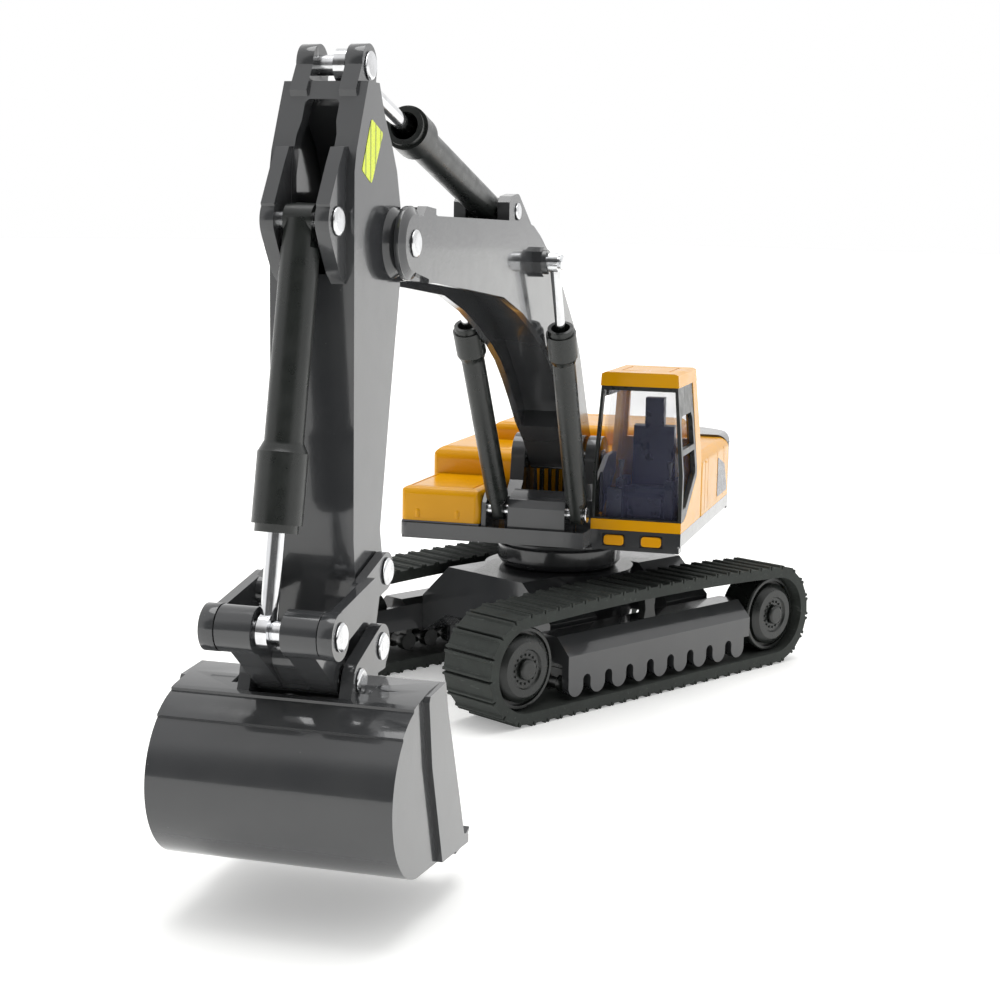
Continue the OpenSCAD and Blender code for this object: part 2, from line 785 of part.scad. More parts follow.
module cab_glazing() {
  color(clear)
    slewed()
      difference() {
        cab_outer(0.8, deck_z1 + 0.6, cab_z1 - 2.2);
        cab_outer(1.2, deck_z1 - 1, cab_z1 + 1);
      }
}

module seat_insert() {
  yc = 12.6;
  color(navy)
    slewed() {
      // floor
      translate([cab_x0 + 1.5, cab_y0 + 1.4, deck_z1 + 0.05])
        cube([cab_x1 - cab_x0 - 3.4, body_y - cab_y0 - 2.8, 0.9]);
      // seat box and cushion
      translate([4.2, yc - 2.3, deck_z1 + 0.9]) cube([6, 4.6, 3]);
      translate([0, yc, 0])
        plate(-2.8, 2.8)
          polygon([[3.9, 26.2], [10.4, 26.2], [10.8, 26.9], [10.5, 27.7], [5.4, 27.3],
                   [4.7, 35.2], [3.6, 35.4], [3.3, 34.6]]);
      // headrest
      translate([3.35, yc - 1.3, 35.1]) cube([1.3, 2.6, 3.2]);
      translate([3.2, yc - 1.25, 36.4]) cube([1.7, 2.5, 2.7]);
      // armrest consoles
      for (s = [-1, 1])
        translate([6, yc + s * 3.3 - 0.55, deck_z1 + 0.9]) cube([4.6, 1.1, 5.2]);
      // instrument block at the front right
      translate([11.6, cab_y0 + 1.4, deck_z1 + 0.9]) cube([1.5, 2, 4.2]);
    }
}

module control_levers() {
  yc = 12.6;
  color(dark)
    slewed()
      for (s = [-1, 1])
        translate([9.9, yc + s * 3.3, deck_z1 + 6.1]) {
          cylinder(r = 0.2, h = 1.6, $fn = 24);
          translate([0, 0, 1.5]) cylinder(r1 = 0.32, r2 = 0.42, h = 1, $fn = 24);
        }
}

// ---------------------------------------------------------------- boom

// side of the boom box
module boom2d() {
  translate(boom_foot) circle(1.75);
  polygon([[82.4, 62.75], [60, 62.5], [41, 62.3], [37.2, 61.8], [34.2, 60.7], [30.3, 58.9],
           [22.6, 54.2], [15.6, 48.6], [12.4, 44.9], [10.2, 41.3], [7.5, 36.9], [5.4, 33.6],
           [boom_foot[0] - 1.65, boom_foot[1] + 0.5], [boom_foot[0], boom_foot[1] - 1.2],
           [boom_foot[0] + 1.5, boom_foot[1] - 0.8], [11.6, 33.2],
           [15.9, 36.2], [19.2, 39.4], [22.6, 42.4], [26.0, 45.0], [30.0, 47.2], [35.5, 49.6],
           [41.5, 51.8], [49.5, 53.9], [62.3, 55.1], [74, 56.1], [82.4, 56.5]]);
}

// hollow along the belly of the boom
module belly2d() {
  polygon([[79.5, 57.6], [74, 57.4], [62, 56.9], [49, 56.3], [40.5, 54.6], [33.8, 52.1],
           [28.2, 49.8], [23.8, 47.2], [19.6, 43.5], [16.0, 40.0], [13.9, 37.6],
           [16.4, 33.2], [20.4, 37.4], [26, 42.6], [32, 45.6], [41.5, 49.4],
           [49.5, 51.6], [62.3, 52.8], [74, 53.8], [79.5, 54.2]]);
}

// cheek that holds the stick, seen from the side
module cheek2d(r) {
  translate(boom_tip) circle(r);
  polygon([[80.4, 56.4], [80.4, 63.3], [83.2, 63.5], [84.2, 62.6], [boom_tip[0], boom_tip[1] + r],
           [boom_tip[0], boom_tip[1] - r]]);
}

// ear that holds the stick cylinder's base, seen from the side
module boom_ear2d() {
  translate(stick_cyl_base) circle(2.0);
  polygon([[45.7, 61.8], [45.7, 64.4], [44.9, 65.1], [stick_cyl_base[0] + 0.6, 65.35],
           [stick_cyl_base[0] - 1.2, 65.0], [33.2, 60.2], [34, 58.6], [42, 60]]);
}

module boom() {
  color(grey)
    slewed()
      difference() {
        union() {
          plate(-boom_y, boom_y) boom2d();
          // cheeks and the pads that join them to the box
          plates(5.1, 5.55) cheek2d(3.4);
          plates(5.5, 6.0) cheek2d(2.6);
          for (s = [-1, 1])
            translate([boom_tip[0], s * 5.5, boom_tip[1]]) rotate([-90 * s, 0, 0])
              cylinder(r1 = 3.4, r2 = 2.6, h = 0.5);
          plates(boom_y - 0.2, 5.2) polygon([[77.6, 56.6], [77.6, 62.7], [82.4, 63.1], [82.4, 56.5]]);
          plates(boom_y - 0.2, 6.0) polygon([[80.4, 56.4], [80.4, 63.3], [82.4, 63.4], [82.4, 56.4]]);
          plates(1.9, 3.3) boom_ear2d();
          // bosses for the boom cylinders' rod pin
          for (s = [-1, 1])
            translate([cyl_rod[0], s * (boom_y - 0.2), cyl_rod[1]]) rotate([-90 * s, 0, 0]) {
              cylinder(r = 1.75, h = 1.2, $fn = 8);
              cylinder(r = 1.45, h = 1.7);
            }
        }
        // hollow belly
        plate(-boom_y + 0.8, boom_y - 0.8) belly2d();
        // trough under the stick cylinder's base and barrel
        plate(-1.9, 1.9) {
          translate(stick_cyl_base) circle(1.9);
          polygon([[41, 61.6], [44.6, 61.8], [50, 62.1], [53, 62.7], [53, 66], [41, 66]]);
        }
        shaft(boom_foot, pin_r + fit, -9, 9);
        shaft(boom_tip, pin_r + 0.01, -9, 9);
        shaft(stick_cyl_base, 0.71, -9, 9);
        shaft(cyl_rod, 0.71, -9, 9);
      }
}

module boom_stick_pin() {
  color(steel) slewed() rivet(boom_tip, pin_r, 6.02);
}

module stick_cylinder_base_pin() {
  color(steel) slewed() rivet(stick_cyl_base, 0.7, 3.32, 1.0, 0.28);
}

module boom_cylinder_rod_pin() {
  color(steel) slewed() rivet(cyl_rod, 0.7, 7.02, 0.95, 0.25);
}

// barrel drawn along +X from its base eye: body, collar, neck and a bore for the rod
module barrel(len, r, collar_r, collar_l, bore_r, eye_r, eye_w, pin) {
  difference() {
    union() {
      rotate([90, 0, 0]) cylinder(r = eye_r, h = eye_w, center = true);
      intersection() {
        xcyl(r, 0, len - collar_l - 1);
        translate([0, -eye_w / 2, -10]) cube([2.4, eye_w, 20]);
      }
      xcyl(r * 0.8, 1.6, 2.6, r);
      xcyl(r, 2.4, len - collar_l - 1);
      xcyl(r, len - collar_l - 1.4, len - collar_l - 0.4, collar_r);
      xcyl(collar_r, len - collar_l - 0.45, len - 0.7);
      xcyl(collar_r * 0.86, len - 0.75, len);
    }
    xcyl(bore_r, 3.2, len + 1);
    rotate([90, 0, 0]) cylinder(r = pin + fit, h = 20, center = true);
  }
}

// rod drawn along +X from its eye
module rod(len, r, eye_r, eye_w, pin) {
  difference() {
    union() {
      rotate([90, 0, 0]) cylinder(r = eye_r, h = eye_w, center = true);
      xcyl(r, eye_r * 0.6, len);
    }
    rotate([90, 0, 0]) cylinder(r = pin + fit, h = 20, center = true);
  }
}

module boom_barrel(s) {
  color(dark)
    slewed()
      along(cyl_base, cyl_rod, s * boom_cyl_y0, s * boom_cyl_y1)
        barrel(norm(cyl_rod - cyl_base) - 9.1, boom_barrel_r, 1.85, 3.6, 1.15, 1.3, 1.4, 0.7);
}

module boom_rod(s) {
  color(steel)
    slewed()
      along(cyl_rod, cyl_base, s * boom_cyl_y1, s * boom_cyl_y0) rod(20, boom_rod_r, 1.15, 1.15, 0.7);
}

module boom_barrel_left() {
  boom_barrel(1);
}

module boom_barrel_right() {
  boom_barrel(-1);
}

module boom_rod_left() {
  boom_rod(1);
}

module boom_rod_right() {
  boom_rod(-1);
}

// ---------------------------------------------------------------- stick

// side of the stick box
module stick2d() {
  translate(bucket_pivot) circle(1.95);
  translate(rocker_pivot) circle(2.1);
  polygon([[93.4, 74.1], [94.9, 71.0], [96.3, 68.0], [96.75, 66.2], [96.6, 34],
           [95.9, 28.6], [bucket_pivot[0] + 1.9, bucket_pivot[1] - 0.3],
           [bucket_pivot[0] - 1.9, bucket_pivot[1] + 0.2], [rocker_pivot[0] - 2.1, rocker_pivot[1]],
           [89.7, 34], [87.3, 45.2], [84.75, 56.2], [84.6, 62.9], [85.8, 66.6], [87.3, 69.0],
           [89.2, 71.4], [90.6, 74.1]]);
}

// hollow inside the stick box
module stick_hollow2d() {
  polygon([[92.2, 72.6], [93.7, 70.0], [95.2, 67.4], [95.65, 65.9], [95.5, 35.5], [91.2, 35.5],
           [88.4, 46], [85.75, 57], [85.6, 62.6], [86.7, 66], [88.1, 68.3], [90.2, 70.9]]);
}

// hooked ear that holds the bucket cylinder's base
module stick_ear2d() {
  polygon(concat([[95.8, 68.4], [97.2, 68.3], [98.3, 66.8], [99.6, 64.8], [100.5, 63.4]],
                 arc(bucket_cyl_base, 2.05, 35, -35, 8),
                 [[99.6, 59.6], [98.2, 57.6], [96.9, 56.6], [95.8, 56.6]]));
}

module stick() {
  color(grey)
    slewed()
      difference() {
        union() {
          plate(-stick_y, stick_y) stick2d();
          plates(1.9, 3.15) stick_ear2d();
          // ears at the top for the stick cylinder's rod
          plates(1.5, 3.1) {
            translate(stick_top) circle(1.9);
            polygon([[stick_top[0] - 1.9, stick_top[1]], [stick_top[0] + 1.9, stick_top[1]],
                     [94.3, 73.3], [94, 72.6], [93.2, 72.9], [89.6, 72.4]]);
          }
          // spacer bosses against the boom's cheeks
          for (s = [-1, 1])
            translate([boom_tip[0], s * (stick_y - 0.1), boom_tip[1]]) rotate([-90 * s, 0, 0])
              cylinder(r1 = 3.3, r2 = 2.7, h = 0.95);
        }
        plate(-stick_y + 0.9, stick_y - 0.9) stick_hollow2d();
        // slot in the front plate between the ears
        bar(93.4, 104)
          polygon([[-1.85, 57.4], [1.85, 57.4], [1.85, 69.4], [1.6, 70.6], [-1.6, 70.6], [-1.85, 69.4]]);
        bar(91.6, 104)
          polygon([[-1.6, 70.5], [1.6, 70.5], [1.6, 72.2], [1.3, 72.5], [-1.3, 72.5], [-1.6, 72.2]]);
        // opening in the back plate behind the slot
        translate([80, -1.6, 64.6]) cube([9, 3.2, 3.8]);
        shaft(boom_tip, pin_r + fit, -9, 9);
        shaft(stick_top, 0.96, -9, 9);
        shaft(bucket_cyl_base, 0.81, -9, 9);
        shaft(rocker_pivot, pin_r + 0.01, -9, 9);
        shaft(bucket_pivot, pin_r + fit, -9, 9);
      }
}

module stick_top_pin() {
  color(steel) slewed() rivet(stick_top, pin_r, 3.12);
}

module bucket_cylinder_pin() {
  color(steel) slewed() rivet(bucket_cyl_base, 0.8, 3.17);
}

module rocker_pin() {
  color(steel) slewed() rivet(rocker_pivot, pin_r, 5.1);
}

module stick_barrel() {
  color(dark)
    slewed()
      along(stick_cyl_base, stick_top, 0, stick_rod_y)
        barrel(32.6, big_barrel_r, 2.25, 3.6, 1.4, 1.55, 3.2, 0.7);
}

module stick_rod() {
  color(steel)
    slewed()
      along(stick_top, stick_cyl_base, stick_rod_y, 0) rod(33, big_rod_r, 1.5, 1.1, pin_r);
}

module bucket_barrel() {
  color(dark)
    slewed()
      along(bucket_cyl_base, link_pivot, 0, bucket_rod_y)
        barrel(norm(link_pivot - bucket_cyl_base) - 8.4, big_barrel_r, 2.2, 6.4, 1.3, 1.5, 2.6, 0.8);
}

module bucket_rod() {
  color(steel)
    slewed()
      along(link_pivot, bucket_cyl_base, bucket_rod_y, 0) rod(20, big_rod_r, 1.55, 1, pin_r);
}

// ---------------------------------------------------------------- bucket linkage

module rocker(s) {
  mid = rocker_pivot + (link_pivot - rocker_pivot) * 0.42;
  near = rocker_pivot + (link_pivot - rocker_pivot) * 0.34;
  color(grey)
    slewed()
      difference() {
        union() {
          plate(s > 0 ? 4.15 : -5.05, s > 0 ? 5.05 : -4.15) link2d(rocker_pivot, mid, 1.75, 1.35);
          plate(s > 0 ? 4.75 : -5.7, s > 0 ? 5.7 : -4.75) link2d(near, link_pivot, 1.3, 1.7);
          plate(s > 0 ? 4.75 : -6.1, s > 0 ? 6.1 : -4.75) translate(link_pivot) circle(2.08);
        }
        shaft(rocker_pivot, pin_r + fit, -9, 9);
        shaft(link_pivot, pin_r + 0.01, -9, 9);
      }
}

module rocker_left() {
  rocker(1);
}

module rocker_right() {
  rocker(-1);
}

module link_pin() {
  color(steel) slewed() rivet(link_pivot, pin_r, 6.12);
}

module coupler() {
  color(grey)
    slewed()
      difference() {
        union() {
          plates(1.35, 4.65) translate(link_pivot) circle(2.05);
          plates(1.35, 3.9) link2d(link_pivot, coupler_pivot, 1.75, 1.6);
          plate(-3.9, 3.9) translate(coupler_pivot) circle(1.72);
          plate(-3.9, 3.9)
            link2d(coupler_pivot, coupler_pivot + (link_pivot - coupler_pivot) * 0.42, 1.5, 1.1);
        }
        shaft(link_pivot, pin_r + fit, -9, 9);
        // wide eye that lets the linkage swing freely
        shaft(coupler_pivot, 1.3, -9, 9);
      }
}

module coupler_pin() {
  color(steel) slewed() rivet(coupler_pivot, 0.8, 5.42, 1.15, 0.32);
}

module bucket_pin() {
  color(steel) slewed() rivet(bucket_pivot, pin_r, 5.42);
}

// ---------------------------------------------------------------- bucket

// outside of the bucket seen from the side, its back lapping in two steps at the top
function bucket_line() =
  concat(
    [[94.2, 21.35], [97.6, 21.3]],
    arc(bucket_c, bucket_r + 0.5, 79, 74, 2),
    arc(bucket_c, bucket_r + 0.25, 73.5, 50, 8),
    arc(bucket_c, bucket_r, 49.5, -88, 40),
    [[86.6, 3.9], [86.6, 4.7], [88.0, 5.2], [89.8, 9.8], [91.9, 14.9], [93.4, 18.4]]
  );

// inside of the bucket, open towards the machine
function bucket_hollow_line() =
  concat(
    [[94.0, 20.2], [97.3, 20.1]],
    arc(bucket_c, bucket_r - bucket_t, 74, -88, 40),
    [[84, 4.68], [84, 21.6], [94.0, 21.6]]
  );

module bucket() {
  color(grey)
    slewed()
      difference() {
        union() {
          plate(-bucket_y, bucket_y) polygon(bucket_line());
          // raised cheeks along the mouth
          plates(bucket_y - 0.2, bucket_y + 0.5)
            polygon([[94.2, 21.35], [98.6, 21.1], [98.9, 20.6], [97.9, 14.5], [94.6, 4.62],
                     [86.6, 3.9], [86.6, 4.7], [88.0, 5.2], [89.8, 9.8], [91.9, 14.9], [93.4, 18.4]]);
          // ears for the bucket and coupler pins
          plates(4.25, 5.4) {
            link2d(bucket_pivot, coupler_pivot, 2.0, 1.85);
            polygon([[bucket_pivot[0] - 1.95, bucket_pivot[1]], [92.6, 20.6], [94.4, 20.4],
                     [101.2, 20], [coupler_pivot[0] + 1.8, coupler_pivot[1] + 0.3]]);
          }
        }
        difference() {
          plate(-bucket_y + bucket_t, bucket_y - bucket_t) polygon(bucket_hollow_line());
          // thickening under the trough that the coupler swings in
          plate(-4.8, 4.8) translate(coupler_pivot) circle(3.3);
        }
        plate(-4.2, 4.2) {
          translate(coupler_pivot) circle(2.4);
          polygon([coupler_pivot + [-2.2, -1.2], coupler_pivot + [2.2, -1.3],
                   coupler_pivot + [6, 0.4], coupler_pivot + [-2.2, 1]]);
        }
        shaft(bucket_pivot, pin_r + 0.01, -9, 9);
        shaft(coupler_pivot, 0.81, -9, 9);
        // room for the coupler pin's heads beside the ears
        for (s = [-1, 1])
          shaft(coupler_pivot, 1.3, s * 6 - 0.59, s * 6 + 0.59);
      }
}

// one tooth seen from the side
module tooth2d() {
  polygon([[88.6, 3.25], [85.3, 3.45], [84.2, 4.5], [84.35, 4.65], [86.5, 4.05], [86.55, 3.85],
           [88.6, 4.08]]);
}

module bucket_teeth() {
  span = 2 * bucket_y - 1.7;
  color(grey)
    slewed()
      for (i = [0:tooth_count - 1])
        translate([0, -span / 2 + span * i / (tooth_count - 1), 0]) plate(-0.75, 0.75) tooth2d();
}

// ---------------------------------------------------------------- nodes

carbody();
slew_ring();
track_frame_left();
track_frame_right();
roller_strip_left();
roller_strip_right();
carrier_post_left();
carrier_post_right();
wheel_axles();
belt_left();
belt_right();
idler_left();
idler_right();
sprocket_left();
sprocket_right();
turntable();
king_rivet();
deck();
headlamps();
boom_cylinder_base_pin();
boom_foot_pin();
front_grille();
body_shell();
right_locker();
counterweight();
cab_shell();
window_surround();
cab_glazing();
seat_insert();
control_levers();
boom();
boom_stick_pin();
stick_cylinder_base_pin();
boom_cylinder_rod_pin();
boom_barrel_left();
boom_barrel_right();
boom_rod_left();
boom_rod_right();
stick();
stick_top_pin();
bucket_cylinder_pin();
rocker_pin();
stick_barrel();
stick_rod();
bucket_barrel();
bucket_rod();
rocker_left();
rocker_right();
link_pin();
coupler();
coupler_pin();
bucket_pin();
bucket();
bucket_teeth();
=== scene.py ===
"""Looks of a die-cast toy crawler excavator: its finishes, stickers, studio light and camera."""

import json
import math

import bmesh
import bpy
from mathutils import Matrix, Vector


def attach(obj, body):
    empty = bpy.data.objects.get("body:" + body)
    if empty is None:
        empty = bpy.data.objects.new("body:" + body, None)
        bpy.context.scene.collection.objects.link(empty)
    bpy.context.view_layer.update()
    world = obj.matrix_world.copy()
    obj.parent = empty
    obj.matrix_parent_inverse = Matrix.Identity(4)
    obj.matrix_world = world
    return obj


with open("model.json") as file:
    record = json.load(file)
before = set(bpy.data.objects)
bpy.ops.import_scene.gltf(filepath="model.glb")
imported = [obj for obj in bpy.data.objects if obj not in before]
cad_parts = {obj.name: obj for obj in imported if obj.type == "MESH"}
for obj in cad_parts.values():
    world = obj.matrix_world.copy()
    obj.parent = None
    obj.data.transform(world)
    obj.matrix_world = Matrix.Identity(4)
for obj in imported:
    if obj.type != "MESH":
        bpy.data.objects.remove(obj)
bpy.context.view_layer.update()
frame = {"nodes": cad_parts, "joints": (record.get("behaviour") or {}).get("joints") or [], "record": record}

NODES = frame["nodes"]
MM = 0.001

# The upper works, boom, stick and bucket stand in a plane that is turned to the machine's left.
BOOM_AXIS = Vector(next(j["axis"] for j in frame["joints"] if j["name"] == "boom_lift"))
ACROSS = -BOOM_AXIS
FORWARD = ACROSS.cross(Vector((0, 0, 1)))
# The upper works' drawing frame stands a little behind and left of the slew axis, in millimetres.
ORIGIN_FORWARD = -1.8
ORIGIN_ACROSS = 1.04
DRAWING_ORIGIN = (FORWARD * ORIGIN_FORWARD + ACROSS * ORIGIN_ACROSS) * MM


def boom_point(forward, across, up):
    """A point given in millimetres in the upper works' own drawing frame."""
    return DRAWING_ORIGIN + (FORWARD * forward + ACROSS * across + Vector((0, 0, up))) * MM


# ---------------------------------------------------------------- finishes

# Range of a noise's middle values, where most of its area lies.
MIDDLE = (0.3, 0.7)


class Finish:
    """One procedural material, with a short method for each kind of node that the finishes use."""

    def __init__(self, name):
        self.material = bpy.data.materials.new(name)
        self.material.use_nodes = True
        self.tree = self.material.node_tree
        self.shader = self.tree.nodes["Principled BSDF"]
        self.place = self.node("ShaderNodeTexCoord").outputs["Object"]

    def node(self, kind, **settings):
        made = self.tree.nodes.new(kind)
        for name, value in settings.items():
            setattr(made, name, value)
        return made

    def feed(self, socket, value):
        """Links value to the socket if it is another node's output, or else sets it."""
        if isinstance(value, bpy.types.NodeSocket):
            self.tree.links.new(value, socket)
        else:
            socket.default_value = value

    def noise(self, size, detail=3.0, distortion=0.0, stretch=None):
        """Noise whose features are about size millimetres, from 0 to 1."""
        made = self.node("ShaderNodeTexNoise")
        made.inputs["Scale"].default_value = 1 / (size * MM)
        made.inputs["Detail"].default_value = detail
        made.inputs["Distortion"].default_value = distortion
        place = self.place
        if stretch:
            mapping = self.node("ShaderNodeMapping")
            mapping.inputs["Scale"].default_value = stretch
            self.feed(mapping.inputs["Vector"], place)
            place = mapping.outputs["Vector"]
        self.feed(made.inputs["Vector"], place)
        return made.outputs["Fac"]

    def cells(self, size):
        """Distance to the nearest of scattered points that are about size millimetres apart."""
        made = self.node("ShaderNodeTexVoronoi")
        made.inputs["Scale"].default_value = 1 / (size * MM)
        self.feed(made.inputs["Vector"], self.place)
        return made.outputs["Distance"]

    def spread(self, value, low, high, start=0.0, end=1.0):
        """The value's range from start to end, spread over the range from low to high."""
        made = self.node("ShaderNodeMapRange")
        self.feed(made.inputs["Value"], value)
        made.inputs["From Min"].default_value = start
        made.inputs["From Max"].default_value = end
        made.inputs["To Min"].default_value = low
        made.inputs["To Max"].default_value = high
        return made.outputs["Result"]

    def blend(self, amount, first, second):
        """Colour first, turning to second as amount goes from 0 to 1."""
        made = self.node("ShaderNodeMix", data_type="RGBA")
        self.feed(made.inputs["Factor"], amount)
        self.feed(made.inputs["A"], first)
        self.feed(made.inputs["B"], second)
        return made.outputs["Result"]

    def bump(self, height, depth, under=None):
        """A bump of depth millimetres from a height between 0 and 1, on top of the bump under it."""
        made = self.node("ShaderNodeBump")
        made.inputs["Distance"].default_value = depth * MM
        self.feed(made.inputs["Height"], height)
        if under:
            self.feed(made.inputs["Normal"], under)
        return made.outputs["Normal"]

    def set(self, **values):
        """Sets or feeds the shader's sockets, named with _ for a space."""
        for name, value in values.items():
            self.feed(self.shader.inputs[name.replace("_", " ")], value)
        return self


def rgb(red, green, blue):
    """A colour given as the screen shows it, from 0 to 255, as linear light."""
    return tuple((c / 255 / 12.92 if c < 11 else ((c / 255 + 0.055) / 1.055) ** 2.4)
                 for c in (red, green, blue)) + (1.0,)


def enamel(name, light, deep, roughness, lacquer, gloss):
    """Sprayed gloss enamel on die-cast metal: faint orange peel, dust specks and uneven gloss.
    lacquer is the weight of the clear coat and gloss the paint's own specular level."""
    f = Finish(name)
    flow = f.noise(9.0, 2.0)
    specks = f.spread(f.cells(1.9), 1.0, 0.0, 0.0, 0.035)
    peel = f.noise(0.55, 2.0)
    colour = f.blend(f.spread(flow, 0.0, 1.0, *MIDDLE), light, deep)
    return f.set(
        Base_Color=f.blend(f.spread(specks, 0.0, 0.18), colour, rgb(200, 200, 196)),
        Roughness=f.spread(f.noise(2.6, 4.0), roughness - 0.04, roughness + 0.06, *MIDDLE),
        Normal=f.bump(specks, 0.01, f.bump(peel, 0.006)),
        Specular_IOR_Level=gloss,
        Coat_Weight=lacquer,
        Coat_Roughness=0.05,
    )


def moulded(name, light, deep, roughness, grain):
    """Moulded plastic: fine grain of the given depth, soft flow marks and handling shine."""
    f = Finish(name)
    flow = f.noise(4.0, 3.0, 0.6)
    return f.set(
        Base_Color=f.blend(f.spread(flow, 0.0, 1.0, *MIDDLE), light, deep),
        Roughness=f.spread(f.noise(1.4, 4.0), roughness - 0.06, roughness + 0.08, *MIDDLE),
        Normal=f.bump(f.noise(0.12, 2.0), grain, f.bump(f.noise(1.2, 2.0), 0.012)),
    )


def rubber(name):
    """Matt black moulded rubber with pale dust, scuffs and a rough skin."""
    f = Finish(name)
    dust = f.noise(2.2, 6.0, 0.4)
    scuffs = f.noise(0.5, 5.0, 1.2, (1.0, 0.25, 1.0))
    base = f.blend(f.spread(dust, 0.0, 1.0, 0.35, 0.75), rgb(42, 46, 43), rgb(60, 64, 61))
    return f.set(
        Base_Color=f.blend(f.spread(scuffs, 0.0, 0.5, 0.62, 0.8), base, rgb(104, 108, 104)),
        Roughness=f.spread(dust, 0.62, 0.85, *MIDDLE),
        Normal=f.bump(f.noise(0.16, 3.0), 0.02, f.bump(f.noise(0.9, 3.0), 0.03)),
        Specular_IOR_Level=0.35,
    )


def polished_steel(name, roughness, scratch):
    """Bright plated steel with fine scratches of the given depth and a little tarnish."""
    f = Finish(name)
    scratches = f.noise(0.25, 4.0, 0.0, (1.0, 1.0, 0.12))
    tarnish = f.noise(1.5, 4.0)
    return f.set(
        Base_Color=f.blend(
            f.spread(tarnish, 0.0, 0.5, 0.45, 0.8), rgb(226, 227, 229), rgb(168, 167, 164)
        ),
        Metallic=1.0,
        Roughness=f.spread(scratches, roughness, roughness + 0.14, 0.35, 0.75),
        Normal=f.bump(scratches, scratch),
    )


def clear_plastic(name):
    """Clear moulded cab glazing with a faint violet tint and soft moulding waves."""
    f = Finish(name)
    return f.set(
        Base_Color=f.blend(f.noise(5.0, 2.0), rgb(104, 106, 136), rgb(126, 128, 154)),
        Alpha=f.spread(f.noise(6.0, 2.0), 0.1, 0.15, *MIDDLE),
        Roughness=0.04,
        Normal=f.bump(f.noise(3.0, 2.0), 0.01),
        Specular_IOR_Level=0.6,
    )


FINISHES = {
    "grey_enamel": enamel("grey_enamel", rgb(57, 58, 60), rgb(63, 64, 65), 0.14, 0.5, 0.5),
    "yellow_enamel": enamel("yellow_enamel", rgb(226, 160, 0), rgb(219, 154, 0), 0.2, 0.0, 0.3),
    "track_rubber": rubber("track_rubber"),
    "black_plastic": moulded("black_plastic", rgb(27, 30, 28), rgb(33, 36, 34), 0.3, 0.008),
    "navy_plastic": moulded("navy_plastic", rgb(20, 28, 34), rgb(27, 35, 42), 0.3, 0.006),
    "amber_paint": enamel("amber_paint", rgb(230, 160, 6), rgb(224, 154, 3), 0.2, 0.0, 0.3),
    "clear_plastic": clear_plastic("clear_plastic"),
    "chrome_rod": polished_steel("chrome_rod", 0.06, 0.001),
    "rivet_steel": polished_steel("rivet_steel", 0.16, 0.006),
}

SLOT_OF = {part["node"]: part["material_slot"] for part in frame["record"]["subparts"]}


def dress(piece, slot):
    """Gives a piece its slot's finish and nothing else."""
    piece.data.materials.clear()
    piece.data.materials.append(FINISHES[slot].material)


for name, piece in NODES.items():
    dress(piece, SLOT_OF[name])

# ---------------------------------------------------------------- stickers

# Width of one band of Blender's wave texture at scale 1.
WAVE_PERIOD = math.pi / 10
# A film's back and front, in millimetres from the side that it is stuck on.
FILM_BACK = 0.005
FILM_FRONT = 0.04
# Share of each side that its rounded corners take up at either end, and steps round a corner.
CORNER_SHARE = 0.09
CORNER_STEPS = 4


def printed_film(name, ground, ink, gap):
    """Glossy printed film: a flat ground with faint slanting bands, a little worn."""
    f = Finish(name)
    bands = f.node("ShaderNodeTexWave", wave_profile="SIN")
    bands.inputs["Scale"].default_value = WAVE_PERIOD / (gap * MM)
    bands.inputs["Distortion"].default_value = 0.6
    f.feed(bands.inputs["Vector"], f.place)
    marks = f.spread(bands.outputs["Fac"], 0.0, 1.0, 0.82, 0.9)
    return f.set(
        Base_Color=f.blend(marks, ground, ink),
        Roughness=f.spread(f.noise(0.8, 3.0), 0.2, 0.34, *MIDDLE),
        Normal=f.bump(f.noise(0.6, 2.0), 0.004),
    )


def sticker(name, corners, side, film, body):
    """A thin film on a flat side, from its corners as (forward, up), with rounded corners.
    side is the face's distance from the boom's centre plane."""
    outline = []
    count = len(corners)
    for i, corner in enumerate(corners):
        here = Vector(corner)
        before = Vector(corners[i - 1])
        after = Vector(corners[(i + 1) % count])
        start = here.lerp(before, CORNER_SHARE)
        end = here.lerp(after, CORNER_SHARE)
        for step in range(CORNER_STEPS + 1):
            t = step / CORNER_STEPS
            outline.append(start.lerp(here, t).lerp(here.lerp(end, t), t))
    n = len(outline)
    points = [
        boom_point(p[0], side + lift, p[1]) for lift in (FILM_BACK, FILM_FRONT) for p in outline
    ]
    faces = [list(range(n)), list(range(n, 2 * n))]
    faces += [[i, (i + 1) % n, n + (i + 1) % n, n + i] for i in range(n)]
    mesh = bpy.data.meshes.new(name)
    mesh.from_pydata(points, [], faces)
    piece = bpy.data.objects.new(name, mesh)
    bpy.context.scene.collection.objects.link(piece)
    fix = bmesh.new()
    fix.from_mesh(mesh)
    bmesh.ops.recalc_face_normals(fix, faces=fix.faces)
    fix.to_mesh(mesh)
    fix.free()
    mesh.materials.append(film.material)
    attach(piece, body)


SAFETY_FILM = printed_film("safety_film", rgb(222, 236, 40), rgb(150, 164, 30), 1.1)
GREY_FILM = printed_film("grey_film", rgb(112, 112, 116), rgb(98, 98, 103), 2.4)
# Millimetres from the boom's centre plane to the stick's side and the body's side.
STICK_SIDE = 3.95
BODY_SIDE = 18.65
STICKER_CORNERS = [(92.7, 70.9), (89.7, 69.8), (92.6, 65.3), (95.0, 66.4)]
REAR_CORNERS = [(-12.7, 29.2), (-18.6, 27.6), (-21.4, 23.4), (-12.7, 23.4)]
sticker("stick_sticker", STICKER_CORNERS, STICK_SIDE, SAFETY_FILM, "stick_arm")
sticker("rear_sticker", REAR_CORNERS, BODY_SIDE, GREY_FILM, "upper_works")

# ---------------------------------------------------------------- edges

